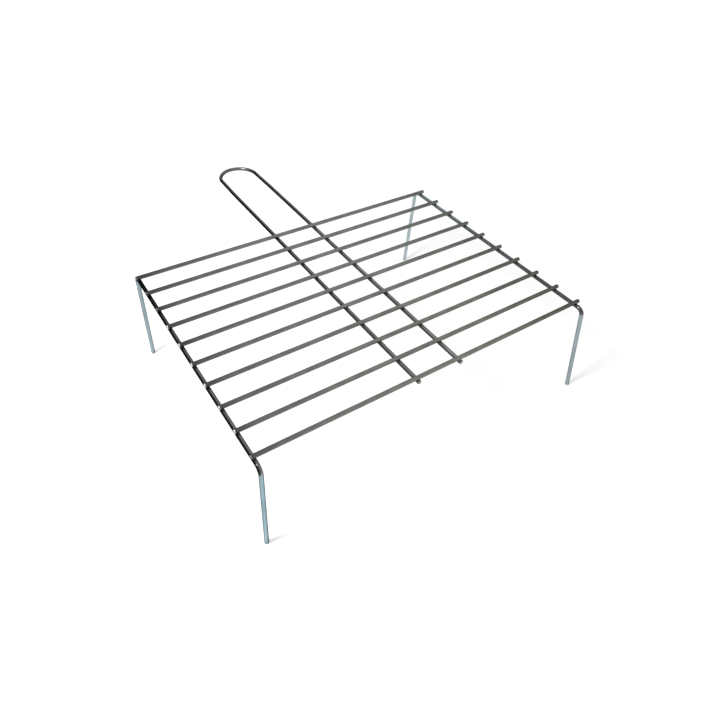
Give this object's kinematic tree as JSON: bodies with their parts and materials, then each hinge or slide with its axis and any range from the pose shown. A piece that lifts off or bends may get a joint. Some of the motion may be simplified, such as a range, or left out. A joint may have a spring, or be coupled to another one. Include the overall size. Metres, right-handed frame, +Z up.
{
  "type": "hearth broiler",
  "caption": "Hearth broiler: flat grate of parallel plated wire bars on bent wire leg frames, with a long hairpin wire handle, for grilling over embers.",
  "frame": {"origin": "on the floor under the middle of the part's outline", "axes": "+X along the bars to the right seen from the front, +Y back along the handle towards its grip, +Z up from the feet"},
  "size_m": [0.4138, 0.4927, 0.1213],
  "materials": {
    "bar_wire": "satin bright-plated steel wire",
    "frame_wire": "glossy bright-plated steel wire, cool blue-grey",
    "handle_wire": "glossy bright-plated steel wire",
    "weld": "plated weld flash"
  },
  "bodies": {
    "root": {"bar_01": "bar_wire", "bar_02": "bar_wire", "bar_03": "bar_wire", "bar_04": "bar_wire", "bar_05": "bar_wire", "bar_06": "bar_wire", "bar_07": "bar_wire", "bar_08": "bar_wire", "bar_09": "bar_wire", "bar_10": "bar_wire", "left_leg_frame": "frame_wire", "right_leg_frame": "frame_wire", "handle": "handle_wire", "bar_01_welds": "weld", "bar_02_welds": "weld", "bar_03_welds": "weld", "bar_04_welds": "weld", "bar_05_welds": "weld", "bar_06_welds": "weld", "bar_07_welds": "weld", "bar_08_welds": "weld", "bar_09_welds": "weld", "bar_10_welds": "weld"}
  },
  "joints": []
}
